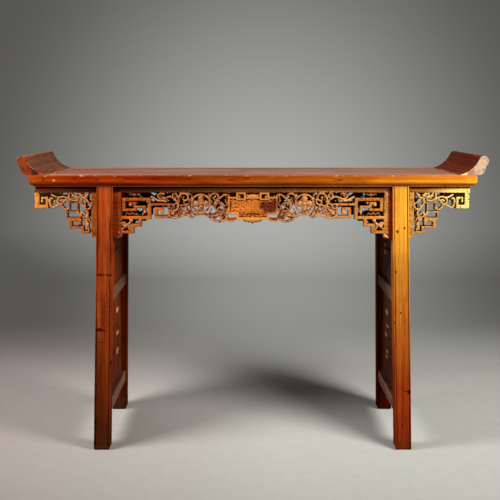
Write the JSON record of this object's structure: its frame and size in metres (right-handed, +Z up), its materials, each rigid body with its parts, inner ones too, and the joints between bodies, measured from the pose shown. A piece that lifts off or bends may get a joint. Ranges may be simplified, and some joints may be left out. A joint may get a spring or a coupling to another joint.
{
  "type": "scribes table",
  "caption": "Long narrow wooden side table with everted end flanges, splayed legs joined by pierced side panels, and a carved openwork apron.",
  "frame": {"origin": "floor level, in the middle of the four feet", "axes": "+X along the length to the right, +Y to the back, +Z up; the front is -Y"},
  "size_m": [1.472, 0.4154, 0.938],
  "materials": {
    "frame_wood": "satin",
    "panel_wood": "satin",
    "flange_wood": "satin",
    "leg_wood": "satin",
    "side_wood": "satin",
    "apron_wood": "satin",
    "carved_wood": "satin"
  },
  "bodies": {
    "root": {"top_front_rail": "frame_wood", "top_back_rail": "frame_wood", "top_left_end_rail": "frame_wood", "top_right_end_rail": "frame_wood", "top_panel": "panel_wood", "left_batten": "panel_wood", "middle_batten": "panel_wood", "right_batten": "panel_wood", "left_flange": "flange_wood", "right_flange": "flange_wood", "front_left_leg": "leg_wood", "front_right_leg": "leg_wood", "back_left_leg": "leg_wood", "back_right_leg": "leg_wood", "left_side_top_rail": "side_wood", "left_side_mid_rail": "side_wood", "left_side_low_rail": "side_wood", "right_side_top_rail": "side_wood", "right_side_mid_rail": "side_wood", "right_side_low_rail": "side_wood", "left_side_upper_panel": "side_wood", "left_side_lower_panel": "side_wood", "right_side_upper_panel": "side_wood", "right_side_lower_panel": "side_wood", "front_apron_rail": "apron_wood", "back_apron_rail": "apron_wood", "left_end_board": "apron_wood", "right_end_board": "apron_wood", "front_scroll_apron": "carved_wood", "back_scroll_apron": "carved_wood", "front_left_bracket": "carved_wood", "front_right_bracket": "carved_wood", "back_left_bracket": "carved_wood", "back_right_bracket": "carved_wood", "front_left_wing": "carved_wood", "front_right_wing": "carved_wood", "back_left_wing": "carved_wood", "back_right_wing": "carved_wood"}
  },
  "joints": []
}
